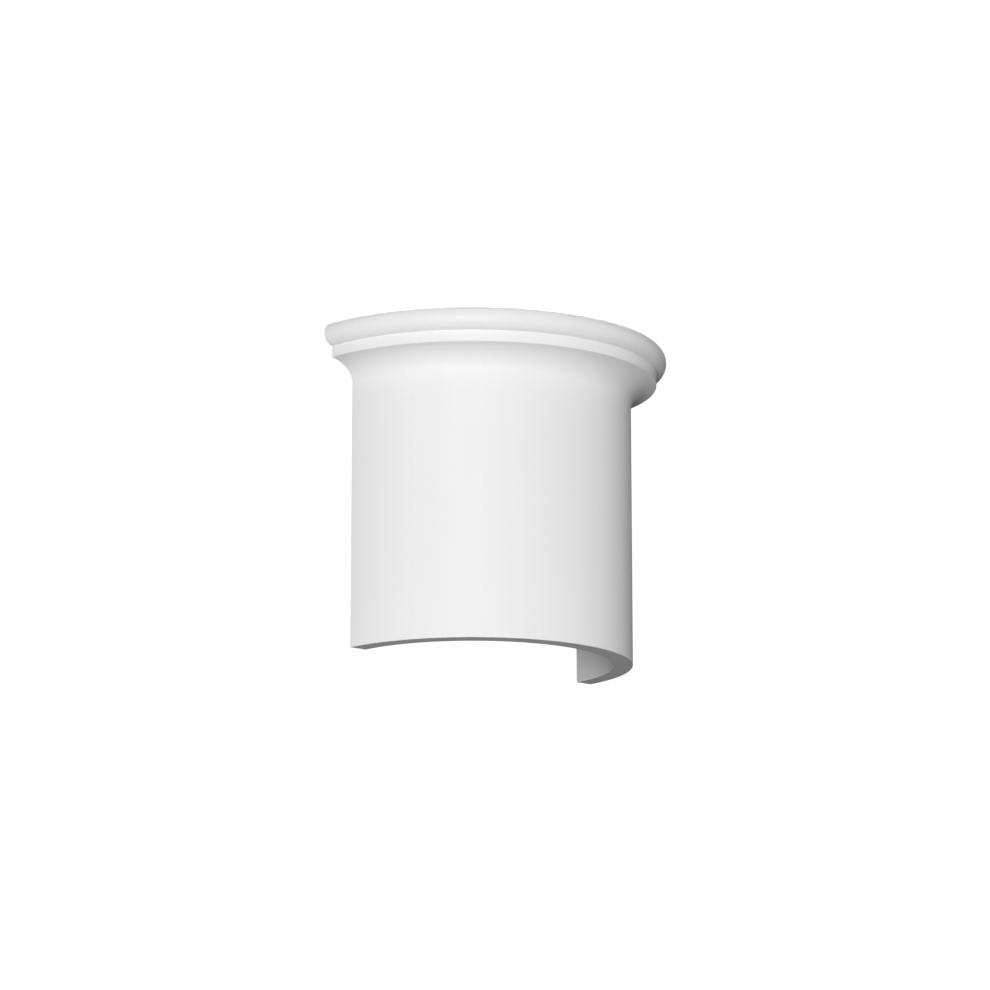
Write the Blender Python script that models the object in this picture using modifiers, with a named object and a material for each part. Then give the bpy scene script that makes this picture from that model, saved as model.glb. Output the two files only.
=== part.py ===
"""Engaged half column: the top length of a half-round shaft with its necking moulding.

The object is one hollow casting, half of a round column. Its plain shaft swells out through a
cavetto to a narrow upright fillet, and a half-round torus crowns the fillet. The bore behind
the face has one radius from end to end, so the wall is thicker behind the moulding.

The front looks along -Y. The two back edges lie in the plane of the wall that the half column
is fixed to, and the open back faces +Y. It stands on its half-ring underside at Z = 0, and the
origin is under the middle of its overall width and depth. Units are metres, +Z up.
"""

from math import cos, pi, radians, sin

import bmesh
import bpy

# Plain shaft, from the foot to where the cavetto starts
SHAFT_RADIUS = 0.150
SHAFT_HEIGHT = 0.250
WALL = 0.0185

# Cavetto, an elliptical hollow: it starts upright on the shaft and has turned this far
# towards the horizontal where it meets the fillet
CAVETTO_HEIGHT = 0.0205
CAVETTO_PROJECTION = 0.0245
CAVETTO_TURN = radians(75)

# Fillet, an upright band whose face stands where the cavetto ends
FILLET_HEIGHT = 0.0105

# Torus, a half-round bead on the fillet whose nose stands out beyond the fillet's face
TORUS_RADIUS = 0.01125
TORUS_OVERHANG = 0.0095

# Facets of the turned solid
HALF_TURN_FACETS = 60
CAVETTO_FACETS = 10
TORUS_FACETS = 16
SHARP_EDGE = radians(30)

# Matt white primer over the whole casting
PRIMER_COLOUR = (0.86, 0.86, 0.86, 1.0)
PRIMER_ROUGHNESS = 0.55
PRIMER_METALLIC = 0.0

# Radii and levels that follow from the sizes above
BORE_RADIUS = SHAFT_RADIUS - WALL
FILLET_RADIUS = SHAFT_RADIUS + CAVETTO_PROJECTION
FILLET_FOOT = SHAFT_HEIGHT + CAVETTO_HEIGHT
TORUS_FOOT = FILLET_FOOT + FILLET_HEIGHT
NOSE_RADIUS = FILLET_RADIUS + TORUS_OVERHANG


def torus_points():
    """Half circle of the bead, from its top edge round the nose to its underside."""
    centre_radius = NOSE_RADIUS - TORUS_RADIUS
    centre_height = TORUS_FOOT + TORUS_RADIUS
    points = []
    for step in range(TORUS_FACETS + 1):
        angle = pi / 2 - pi * step / TORUS_FACETS
        radius = centre_radius + TORUS_RADIUS * cos(angle)
        height = centre_height + TORUS_RADIUS * sin(angle)
        points.append((radius, height))
    return points


def fillet_points():
    """Upper and lower arris of the upright band."""
    return [(FILLET_RADIUS, TORUS_FOOT), (FILLET_RADIUS, FILLET_FOOT)]


def cavetto_points():
    """Hollow curve under the band, down to where it runs upright into the shaft."""
    half_width = CAVETTO_PROJECTION / (1 - cos(CAVETTO_TURN))
    half_height = CAVETTO_HEIGHT / sin(CAVETTO_TURN)
    points = []
    for step in range(1, CAVETTO_FACETS + 1):
        angle = CAVETTO_TURN * (1 - step / CAVETTO_FACETS)
        radius = SHAFT_RADIUS + half_width * (1 - cos(angle))
        height = SHAFT_HEIGHT + half_height * sin(angle)
        points.append((radius, height))
    return points


def section_points():
    """Closed section of the casting: down the moulded face, in at the foot and up the bore."""
    face = torus_points() + fillet_points() + cavetto_points()
    top_height = face[0][1]
    return face + [(SHAFT_RADIUS, 0.0), (BORE_RADIUS, 0.0), (BORE_RADIUS, top_height)]


def section_object(name, points, collection):
    """Object at +X whose edges join the (radius, height) points in a closed ring."""
    corners = [(radius, 0.0, height) for radius, height in points]
    edges = [(index, (index + 1) % len(corners)) for index in range(len(corners))]
    mesh = bpy.data.meshes.new(name)
    mesh.from_pydata(corners, edges, [])
    section = bpy.data.objects.new(name, mesh)
    collection.objects.link(section)
    return section


def turned_mesh(section):
    """Mesh of the section swept through half a turn, on the side that faces -Y."""
    screw = section.modifiers.new("half turn", "SCREW")
    screw.axis = "Z"
    screw.angle = -pi
    screw.steps = HALF_TURN_FACETS
    screw.render_steps = HALF_TURN_FACETS
    depsgraph = bpy.context.evaluated_depsgraph_get()
    depsgraph.update()
    return bpy.data.meshes.new_from_object(section.evaluated_get(depsgraph))


def close_back_edges(mesh):
    """Fill both open ends of the half turn, which are the edges that meet the wall."""
    body = bmesh.new()
    body.from_mesh(mesh)
    open_edges = [edge for edge in body.edges if edge.is_boundary]
    bmesh.ops.holes_fill(body, edges=open_edges, sides=0)
    bmesh.ops.recalc_face_normals(body, faces=body.faces)
    body.to_mesh(mesh)
    body.free()


def primer_material():
    """Even, matt white primer."""
    material = bpy.data.materials.new("white primer")
    material.use_nodes = True
    shader = material.node_tree.nodes["Principled BSDF"]
    shader.inputs["Base Color"].default_value = PRIMER_COLOUR
    shader.inputs["Roughness"].default_value = PRIMER_ROUGHNESS
    shader.inputs["Metallic"].default_value = PRIMER_METALLIC
    return material


def build_half_column(collection):
    """The casting as one closed solid, with the middle of its box over the origin."""
    casting = section_object("half_column", section_points(), collection)
    mesh = turned_mesh(casting)
    close_back_edges(mesh)
    mesh.shade_smooth()
    mesh.set_sharp_from_angle(angle=SHARP_EDGE)
    mesh.materials.append(primer_material())
    casting.modifiers.clear()
    casting.data = mesh
    casting.location.y = NOSE_RADIUS / 2


def main():
    for leftover in list(bpy.data.objects):
        bpy.data.objects.remove(leftover, do_unlink=True)
    parts = bpy.data.collections.new("engaged half column")
    bpy.context.scene.collection.children.link(parts)
    build_half_column(parts)


main()
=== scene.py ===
# %% [markdown]
# # An engaged half column in white primed foam
#
# An engaged column is half of a round column that stands out of a wall. The one built here is
# the top length of such a shaft, cast hollow in rigid foam and primed white. Its plain shaft
# swells out through a hollow curve, the cavetto, to a narrow upright band, the fillet, and a
# half-round bead, the torus, crowns it.
#
# A white object has only light and shade to show its shape with. So the lesson is about exact
# curves, crisp edges that still catch light, a calm white surface with a little life in it, and
# lamps that shade the round from its left edge to its dark right side.

# %% Load the measured frame
from math import acos, cos, hypot, pi, radians, sin

import bmesh
import bpy
from mathutils import Matrix, Vector


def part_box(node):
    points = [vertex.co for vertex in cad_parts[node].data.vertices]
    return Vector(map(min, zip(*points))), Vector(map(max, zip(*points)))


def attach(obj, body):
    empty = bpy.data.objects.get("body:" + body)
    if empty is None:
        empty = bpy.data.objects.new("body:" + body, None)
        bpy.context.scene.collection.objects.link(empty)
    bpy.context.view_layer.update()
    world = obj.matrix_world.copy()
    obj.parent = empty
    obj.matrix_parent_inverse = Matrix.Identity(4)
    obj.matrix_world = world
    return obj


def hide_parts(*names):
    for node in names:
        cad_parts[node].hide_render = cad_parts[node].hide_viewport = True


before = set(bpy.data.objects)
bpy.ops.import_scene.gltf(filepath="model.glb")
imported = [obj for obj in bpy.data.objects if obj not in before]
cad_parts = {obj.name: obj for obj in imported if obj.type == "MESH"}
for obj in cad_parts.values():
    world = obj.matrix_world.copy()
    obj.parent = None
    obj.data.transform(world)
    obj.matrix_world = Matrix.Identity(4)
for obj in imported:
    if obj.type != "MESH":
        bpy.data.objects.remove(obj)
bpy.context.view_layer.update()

# %% [markdown]
# ## Sizes
#
# The frame fixes three sizes: how wide the bead is, how high the piece stands and where the wall
# is that it will be fixed to. The column's axis lies in that wall plane, because the piece is
# exactly half of a round. The other sizes are those a joiner would read off a drawing of the
# moulding, from the foot upwards.

# %% Sizes of the moulding
node_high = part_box("half_column")[1]
WALL_PLANE = node_high.y
NOSE_RADIUS = node_high.x
TOP_HEIGHT = node_high.z

SHAFT_RADIUS = 0.150
SHAFT_HEIGHT = 0.250
WALL_THICKNESS = 0.0185
CAVETTO_HEIGHT = 0.0205
CAVETTO_PROJECTION = 0.0245
CAVETTO_TURN = radians(75)
FILLET_HEIGHT = 0.0105

BORE_RADIUS = SHAFT_RADIUS - WALL_THICKNESS
FILLET_RADIUS = SHAFT_RADIUS + CAVETTO_PROJECTION
FILLET_FOOT = SHAFT_HEIGHT + CAVETTO_HEIGHT
TORUS_FOOT = FILLET_FOOT + FILLET_HEIGHT
TORUS_RADIUS = (TOP_HEIGHT - TORUS_FOOT) / 2
print("bead", round(2000 * TORUS_RADIUS, 2), "mm high, overall", round(2000 * NOSE_RADIUS, 1), "mm wide")

# %% [markdown]
# ## Camera
#
# The picture looks up at the column from the left: the camera stands well below the foot, so the
# underside of the wall shows, and the front of the column is turned away to the right. A long
# lens from almost four metres keeps the uprights nearly parallel.

# %% Camera
CAMERA_DISTANCE = 3.673
CAMERA_DROP = 0.657
CAMERA_SIDE = radians(41.03)
CAMERA_AIM = radians(0.315)
CAMERA_TILT = radians(12.62)
LENS_MM = 143.98
SENSOR_MM = 36.0

camera_data = bpy.data.cameras.new("camera")
camera_data.lens = LENS_MM
camera_data.sensor_width = SENSOR_MM
camera = bpy.data.objects.new("camera", camera_data)
bpy.context.scene.collection.objects.link(camera)
axis_foot = Vector((0.0, WALL_PLANE, 0.0))
camera_side = Vector((-sin(CAMERA_SIDE), -cos(CAMERA_SIDE), 0.0))
camera.location = axis_foot + CAMERA_DISTANCE * camera_side + Vector((0.0, 0.0, -CAMERA_DROP))
camera.rotation_euler = (pi / 2 + CAMERA_TILT, 0.0, -(CAMERA_SIDE + CAMERA_AIM))
bpy.context.scene.camera = camera
print("camera at", [round(value, 3) for value in camera.location])

# %% [markdown]
# ## The section of the moulding
#
# A turned piece is drawn as half a section and swept round the axis. The curves are arcs, so
# they are made the way a pair of compasses makes them: one vertex is spun about a centre. The
# cavetto is an ellipse, which is a circular arc that is squeezed in height afterwards.

# %% A compass for arcs
ACROSS = Vector((0.0, 1.0, 0.0))


def arc(section, start, centre, angle, steps):
    """Spins one vertex about a centre in the XZ plane and returns the arc's vertices in order."""
    first = section.verts.new(start)
    bmesh.ops.spin(section, geom=[first], cent=centre, axis=ACROSS, angle=angle, steps=steps)
    ordered = [first]
    while True:
        onward = [edge.other_vert(ordered[-1]) for edge in ordered[-1].link_edges]
        onward = [vert for vert in onward if vert not in ordered]
        if not onward:
            return ordered
        ordered.append(onward[0])


print("arcs turn about", ACROSS[:])

# %% Draw the section
TORUS_STEPS = 32
CAVETTO_STEPS = 22


def at(radius, height):
    """Point of the section at a distance from the axis and a height."""
    return Vector((radius, 0.0, height))


def draw_section(section):
    """Closed outline of the casting's wall as one face in the XZ plane."""
    torus_centre = at(NOSE_RADIUS - TORUS_RADIUS, TORUS_FOOT + TORUS_RADIUS)
    meets_fillet = acos((FILLET_RADIUS - torus_centre.x) / TORUS_RADIUS)
    torus_start = torus_centre + TORUS_RADIUS * at(cos(meets_fillet), -sin(meets_fillet))
    torus = arc(section, torus_start, torus_centre, -(meets_fillet + pi / 2), TORUS_STEPS)
    half_width = CAVETTO_PROJECTION / (1 - cos(CAVETTO_TURN))
    half_height = CAVETTO_HEIGHT / sin(CAVETTO_TURN)
    cavetto_centre = at(SHAFT_RADIUS + half_width, SHAFT_HEIGHT)
    cavetto = arc(section, at(SHAFT_RADIUS, SHAFT_HEIGHT), cavetto_centre, CAVETTO_TURN, CAVETTO_STEPS)
    bmesh.ops.scale(
        section,
        vec=(1.0, 1.0, half_height / half_width),
        space=Matrix.Translation(-cavetto_centre),
        verts=cavetto,
    )
    foot_outer = section.verts.new(at(SHAFT_RADIUS, 0.0))
    foot_inner = section.verts.new(at(BORE_RADIUS, 0.0))
    top_inner = section.verts.new(at(BORE_RADIUS, TOP_HEIGHT))
    outline = [foot_inner, foot_outer, *cavetto, *torus, top_inner]
    for here, onward in zip(outline, outline[1:] + outline[:1]):
        if not section.edges.get((here, onward)):
            section.edges.new((here, onward))
    bmesh.ops.contextual_create(section, geom=section.edges[:])
    return [foot_inner, foot_outer, cavetto[-1], top_inner]


casting = bmesh.new()
arrises = draw_section(casting)
print("section:", len(casting.verts), "points in", len(casting.faces), "face")

# %% [markdown]
# ## Crisp arrises
#
# A casting leaves its mould with edges that look sharp and aren't: half a millimetre is rounded
# off. Without that a white edge never catches any light. Rounding the section's corners before
# the sweep rounds every edge that runs round the column at once.

# %% Round the corners of the section
ARRIS_RADIUS = 0.0005
ARRIS_SEGMENTS = 3
bmesh.ops.bevel(
    casting,
    geom=arrises,
    offset=ARRIS_RADIUS,
    segments=ARRIS_SEGMENTS,
    profile=0.5,
    affect="VERTICES",
    material=-1,
)
print("with its corners rounded:", len(casting.verts), "points")

# %% [markdown]
# ## Sweep the section
#
# The sweep goes through half a turn only. A swept face leaves a cap at both ends, and those two
# caps are the flat edges that meet the wall. One step a degree keeps the outline smooth in a
# close view. Any vertices that share a place are merged before the faces are turned outwards,
# because a shell with a slit in it has no outside.

# %% Sweep through half a turn
SWEEP_STEPS = 180
SAME_PLACE = 0.000001
bmesh.ops.spin(
    casting,
    geom=casting.verts[:] + casting.edges[:] + casting.faces[:],
    cent=(0.0, 0.0, 0.0),
    axis=(0.0, 0.0, 1.0),
    angle=-pi,
    steps=SWEEP_STEPS,
)
bmesh.ops.remove_doubles(casting, verts=casting.verts, dist=SAME_PLACE)
bmesh.ops.recalc_face_normals(casting, faces=casting.faces)
open_edges = [edge for edge in casting.edges if not edge.is_manifold]
print("swept:", len(casting.faces), "faces,", len(open_edges), "open edges")

# %% [markdown]
# ## Sawn back edges
#
# The two caps lie in the wall plane. On the real piece a saw leaves them flat, and a wipe with
# sandpaper takes the sharpness off. A small bevel along every edge of a cap does the same.

# %% Ease the edges of the two caps
SAWN_EASE = 0.0003
SAWN_SEGMENTS = 2
SWEPT_CORNERS = 4
# A swept face has four corners, and a cap has every point of the section.
caps = [face for face in casting.faces if len(face.verts) > SWEPT_CORNERS]
cap_edges = [edge for cap in caps for edge in cap.edges]
bmesh.ops.bevel(
    casting,
    geom=cap_edges,
    offset=SAWN_EASE,
    segments=SAWN_SEGMENTS,
    profile=0.5,
    affect="EDGES",
    material=-1,
    clamp_overlap=True,
)
bmesh.ops.translate(casting, verts=casting.verts, vec=(0.0, WALL_PLANE, 0.0))
open_edges = [edge for edge in casting.edges if not edge.is_manifold]
print("caps eased:", len(caps), "caps,", len(casting.faces), "faces,", len(open_edges), "open edges")

# %% [markdown]
# ## Which face gets which finish
#
# One coat of primer covers the casting, but the skin below it isn't the same everywhere. The
# moulded face copies a polished mould, the bore copies a plain core, and the foot, the top and
# the back edges are sawn, so the cells of the foam show faintly through the primer. The bore's
# white is also set darker than the moulded face's, partly as painted shade in the hollow. Each
# face is sorted by its size and by where it lies, and gets the number of its material.

# %% Sort the faces by their finish
MOULDED, ARRIS, SAWN, BORE = range(4)
# A face counts as lying in a plane or on the bore when it is closer to it than this.
SKIN = 0.00002
# Faces on an arris are smaller than this, apart from the long eased strips. The others are larger.
ARRIS_AREA = 2 * ARRIS_RADIUS * SHAFT_RADIUS * pi / SWEEP_STEPS


def finish_of(face):
    """Number of the finish that a face of the casting gets."""
    middle = face.calc_center_median()
    from_axis = hypot(middle.x, middle.y - WALL_PLANE)
    at_foot = middle.z < SKIN
    at_wall = middle.y > WALL_PLANE - SKIN
    at_top = middle.z > TOP_HEIGHT - SKIN and from_axis < NOSE_RADIUS - TORUS_RADIUS
    if face.calc_area() < ARRIS_AREA:
        return ARRIS
    if at_foot or at_wall or at_top:
        return SAWN
    return BORE if from_axis < BORE_RADIUS + SKIN else MOULDED


casting.normal_update()
count = [0, 0, 0, 0]
for face in casting.faces:
    face.material_index = finish_of(face)
    face.smooth = True
    count[face.material_index] += 1
print("moulded, arris, sawn and bore faces:", count)

# %% [markdown]
# ## The finished mesh
#
# The half column becomes one object at the origin, with its place in its mesh, as the frame has
# it. It rides on the only body and stands for the plain solid. Weighted normals keep each flat
# flat: a flat's large face decides how the light runs up to an arris, and the arris turns alone.

# %% Make the object
casting_mesh = bpy.data.meshes.new("half_column_casting")
casting.to_mesh(casting_mesh)
casting.free()
half_column = bpy.data.objects.new("half_column_casting", casting_mesh)
bpy.context.scene.collection.objects.link(half_column)

shading = half_column.modifiers.new("flats stay flat", "WEIGHTED_NORMAL")
shading.mode = "FACE_AREA"

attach(half_column, "root")
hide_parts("half_column")
print(half_column.name, "has", len(casting_mesh.polygons), "faces")

# %% [markdown]
# ## White primer
#
# The primer is sprayed on and dries to an even, dull white. Close up it isn't dead: the colour
# drifts by a hundredth or two over a hand's width, a mould leaves faint streaks along the shaft,
# the spray leaves a fine grain like the skin of an orange, and the sheen changes a little too.
# A dull coat also scatters light back towards the lamp, which makes the round look flatter than
# a smooth one. One function makes all four finishes, and each states how white, how dull, how
# rough and how grainy it is.


# %% Helpers for nodes
def wire(tree, from_node, output, to_node, socket):
    """Joins an output of one node to a socket of another."""
    tree.links.new(from_node.outputs[output], to_node.inputs[socket])


def dial(node, settings):
    """Sets sockets of a node by their names."""
    for socket, value in settings.items():
        node.inputs[socket].default_value = value


# %% Helpers for patterns
NOISE_LOW = 0.3
NOISE_HIGH = 0.7
BUMP_STRENGTH = 0.5


def noise(tree, place, per_metre, stretch=(1.0, 1.0, 1.0), detail=3.0):
    """Noise on Object coordinates, in features a metre, stretched along the axes."""
    mapping = tree.nodes.new("ShaderNodeMapping")
    pattern = tree.nodes.new("ShaderNodeTexNoise")
    dial(mapping, {"Scale": stretch})
    dial(pattern, {"Scale": per_metre, "Detail": detail})
    wire(tree, place, "Object", mapping, "Vector")
    wire(tree, mapping, "Vector", pattern, "Vector")
    return pattern


def between(tree, pattern, low, high):
    """Maps the middle range of a noise to a range of numbers."""
    mapped = tree.nodes.new("ShaderNodeMapRange")
    dial(mapped, {"From Min": NOISE_LOW, "From Max": NOISE_HIGH, "To Min": low, "To Max": high})
    wire(tree, pattern, "Fac", mapped, "Value")
    return mapped


def bump(tree, pattern, depth):
    """Raises a noise by a depth in metres."""
    raised = tree.nodes.new("ShaderNodeBump")
    dial(raised, {"Strength": BUMP_STRENGTH, "Distance": depth})
    wire(tree, pattern, "Fac", raised, "Height")
    return raised


print("noise from", NOISE_LOW, "to", NOISE_HIGH, "is spread over the whole range of a pattern")

# %% Sizes of the patterns in the primer
CLOUDS_A_METRE = 7.0
STREAKS_A_METRE = 240.0
ALONG_THE_SHAFT = (1.0, 1.0, 0.01)
STREAK_SHARE = 0.8
SHEEN_A_METRE = 40.0
SHEEN_SWING = 0.04
ORANGE_PEEL_A_METRE = 260.0
SPRAY_A_METRE = 1400.0
SPRAY_SHARE = 0.25
HIGHLIGHT = 0.3
print("streaks about", round(1000 / STREAKS_A_METRE, 1), "mm wide")
print("orange peel about", round(1000 / ORANGE_PEEL_A_METRE, 1), "mm across")
print("spray about", round(1000 / SPRAY_A_METRE, 1), "mm across")


# %% Primer
def primer(name, white, drift, dull, roughness, grain, cells=0.0):
    """A white coat. Drift is its change of colour, grain and cells are depths in metres."""
    material = bpy.data.materials.new(name)
    material.use_nodes = True
    tree = material.node_tree
    coat = tree.nodes["Principled BSDF"]
    dial(coat, {"Specular IOR Level": HIGHLIGHT, "Diffuse Roughness": dull})
    place = tree.nodes.new("ShaderNodeTexCoord")

    clouds = between(tree, noise(tree, place, CLOUDS_A_METRE), 1.0 - drift, 1.0)
    streak_noise = noise(tree, place, STREAKS_A_METRE, ALONG_THE_SHAFT)
    streaks = between(tree, streak_noise, 1.0 - STREAK_SHARE * drift, 1.0)
    tone = tree.nodes.new("ShaderNodeMath")
    tone.operation = "MULTIPLY"
    wire(tree, clouds, "Result", tone, 0)
    wire(tree, streaks, "Result", tone, 1)
    paint = tree.nodes.new("ShaderNodeMixRGB")
    paint.blend_type = "MULTIPLY"
    dial(paint, {"Fac": 1.0, "Color1": (white, white, white, 1.0)})
    wire(tree, tone, "Value", paint, "Color2")
    wire(tree, paint, "Color", coat, "Base Color")

    sheen_noise = noise(tree, place, SHEEN_A_METRE)
    sheen = between(tree, sheen_noise, roughness - SHEEN_SWING, roughness + SHEEN_SWING)
    wire(tree, sheen, "Result", coat, "Roughness")

    orange_peel = bump(tree, noise(tree, place, ORANGE_PEEL_A_METRE, detail=2.0), grain)
    spray = bump(tree, noise(tree, place, SPRAY_A_METRE, detail=1.0), SPRAY_SHARE * grain + cells)
    wire(tree, orange_peel, "Normal", spray, "Normal")
    wire(tree, spray, "Normal", coat, "Normal")
    return material


# %% The four finishes
MICRON = 0.000001
moulded_primer = primer(
    "primer on the moulded face",
    white=0.885,
    drift=0.016,
    dull=0.45,
    roughness=0.52,
    grain=80 * MICRON,
)
arris_primer = primer(
    "primer rubbed thin on an arris",
    white=0.86,
    drift=0.05,
    dull=0.4,
    roughness=0.44,
    grain=40 * MICRON,
)
sawn_primer = primer(
    "primer on a sawn face",
    white=0.87,
    drift=0.03,
    dull=0.3,
    roughness=0.62,
    grain=100 * MICRON,
    cells=60 * MICRON,
)
# The bore's white sits below the moulded face's: a plainer skin, and partly painted shade of the hollow.
bore_primer_painted_shade = primer(
    "primer in the bore, darkened as painted shade",
    white=0.83,
    drift=0.03,
    dull=0.05,
    roughness=0.6,
    grain=120 * MICRON,
)
finishes = {MOULDED: moulded_primer, ARRIS: arris_primer, SAWN: sawn_primer, BORE: bore_primer_painted_shade}
for number in sorted(finishes):
    casting_mesh.materials.append(finishes[number])
print("finishes:", [material.name for material in casting_mesh.materials])

# %% [markdown]
# ## Floor
#
# The camera looks up from below the foot, so the floor has to lie lower than the camera, and the
# column hangs over it as in the picture. A pale floor would throw light up at the underside,
# which is a plain grey in the picture. A studio lays black cloth between the two. Here the floor
# is only hidden from the rays that gather soft light, and it glows, because the softboxes are
# too far away to keep it pale. It is a stage, not part of the object.

# %% Floor
FLOOR_DROP = 2.4
FLOOR_RADIUS = 30.0
FLOOR_CORNERS = 96
FLOOR_GREY = 0.12
FLOOR_ROUGHNESS = 0.9
FLOOR_GLOW = 0.82
WHITE = (1.0, 1.0, 1.0, 1.0)
floor_shape = bmesh.new()
bmesh.ops.create_circle(floor_shape, cap_ends=True, segments=FLOOR_CORNERS, radius=FLOOR_RADIUS)
bmesh.ops.translate(floor_shape, verts=floor_shape.verts, vec=(0.0, 0.0, -FLOOR_DROP))
floor_mesh = bpy.data.meshes.new("floor")
floor_shape.to_mesh(floor_mesh)
floor_shape.free()
floor = bpy.data.objects.new("floor", floor_mesh)
bpy.context.scene.collection.objects.link(floor)
floor.visible_diffuse = False
floor.visible_glossy = False
floor_paint = bpy.data.materials.new("pale floor")
floor_paint.use_nodes = True
floor_coat = floor_paint.node_tree.nodes["Principled BSDF"]
floor_grey = (FLOOR_GREY, FLOOR_GREY, FLOOR_GREY, 1.0)
dial(floor_coat, {"Base Color": floor_grey, "Roughness": FLOOR_ROUGHNESS})
dial(floor_coat, {"Emission Color": WHITE, "Emission Strength": FLOOR_GLOW})
floor_mesh.materials.append(floor_paint)
print("floor", FLOOR_DROP, "m below the foot")

# %% [markdown]
# ## Soft studio light
#
# Each lamp is a round softbox that is aimed at the middle of the column. It is placed by its
# direction as seen from the column: degrees to the right of the camera, and degrees above level.
# The two strong ones stand close to the camera, so the round is brightest where it faces the
# lens and falls off to both sides, and the lower of them reaches the cavetto. The right one lifts
# the far side a little, and the one behind lights the back and the top.

# %% Softboxes
MIDDLE = Vector((0.0, 0.0, TOP_HEIGHT / 2))
SOFTBOX_DISTANCE = 3.0
SOFTBOX_WIDTH = 1.6


def softbox(name, right, above, power):
    """Round area lamp aimed at the middle of the column, of a power in watts."""
    turn = CAMERA_SIDE - radians(right)
    rise = radians(above)
    direction = Vector((-sin(turn) * cos(rise), -cos(turn) * cos(rise), sin(rise)))
    lamp_data = bpy.data.lights.new(name, "AREA")
    lamp_data.shape = "DISK"
    lamp_data.size = SOFTBOX_WIDTH
    lamp_data.energy = power
    lamp = bpy.data.objects.new(name, lamp_data)
    lamp.location = MIDDLE + SOFTBOX_DISTANCE * direction
    lamp.rotation_euler = direction.to_track_quat("Z", "Y").to_euler()
    lamp.visible_camera = False
    bpy.context.scene.collection.objects.link(lamp)
    return lamp


softboxes = [
    softbox("front softbox", right=0, above=0, power=42),
    softbox("low left softbox", right=-12, above=-14, power=46),
    softbox("right softbox", right=90, above=20, power=11),
    softbox("back softbox", right=180, above=45, power=95),
]
print("watts:", {lamp.name: lamp.data.energy for lamp in softboxes})

# %% [markdown]
# ## White surroundings
#
# The picture has a pure white ground, and yet little light comes from it: the right side of the
# shaft falls off to a dark grey. So the world is white for the camera alone and dim for the
# column. The plain view transform keeps white white.

# %% World
AMBIENT = 0.02
WHITE_GROUND = 1.05
world = bpy.data.worlds.new("white surroundings")
world.use_nodes = True
sky = world.node_tree
sky.nodes.clear()
seen_white = sky.nodes.new("ShaderNodeBackground")
dial(seen_white, {"Color": WHITE, "Strength": WHITE_GROUND})
dim_light = sky.nodes.new("ShaderNodeBackground")
dial(dim_light, {"Color": WHITE, "Strength": AMBIENT})
ray_kind = sky.nodes.new("ShaderNodeLightPath")
either = sky.nodes.new("ShaderNodeMixShader")
sky_output = sky.nodes.new("ShaderNodeOutputWorld")
wire(sky, ray_kind, "Is Camera Ray", either, 0)
wire(sky, dim_light, "Background", either, 1)
wire(sky, seen_white, "Background", either, 2)
wire(sky, either, "Shader", sky_output, "Surface")
bpy.context.scene.world = world
bpy.context.scene.view_settings.view_transform = "Standard"
print("white ground", WHITE_GROUND, "and ambient light", AMBIENT)
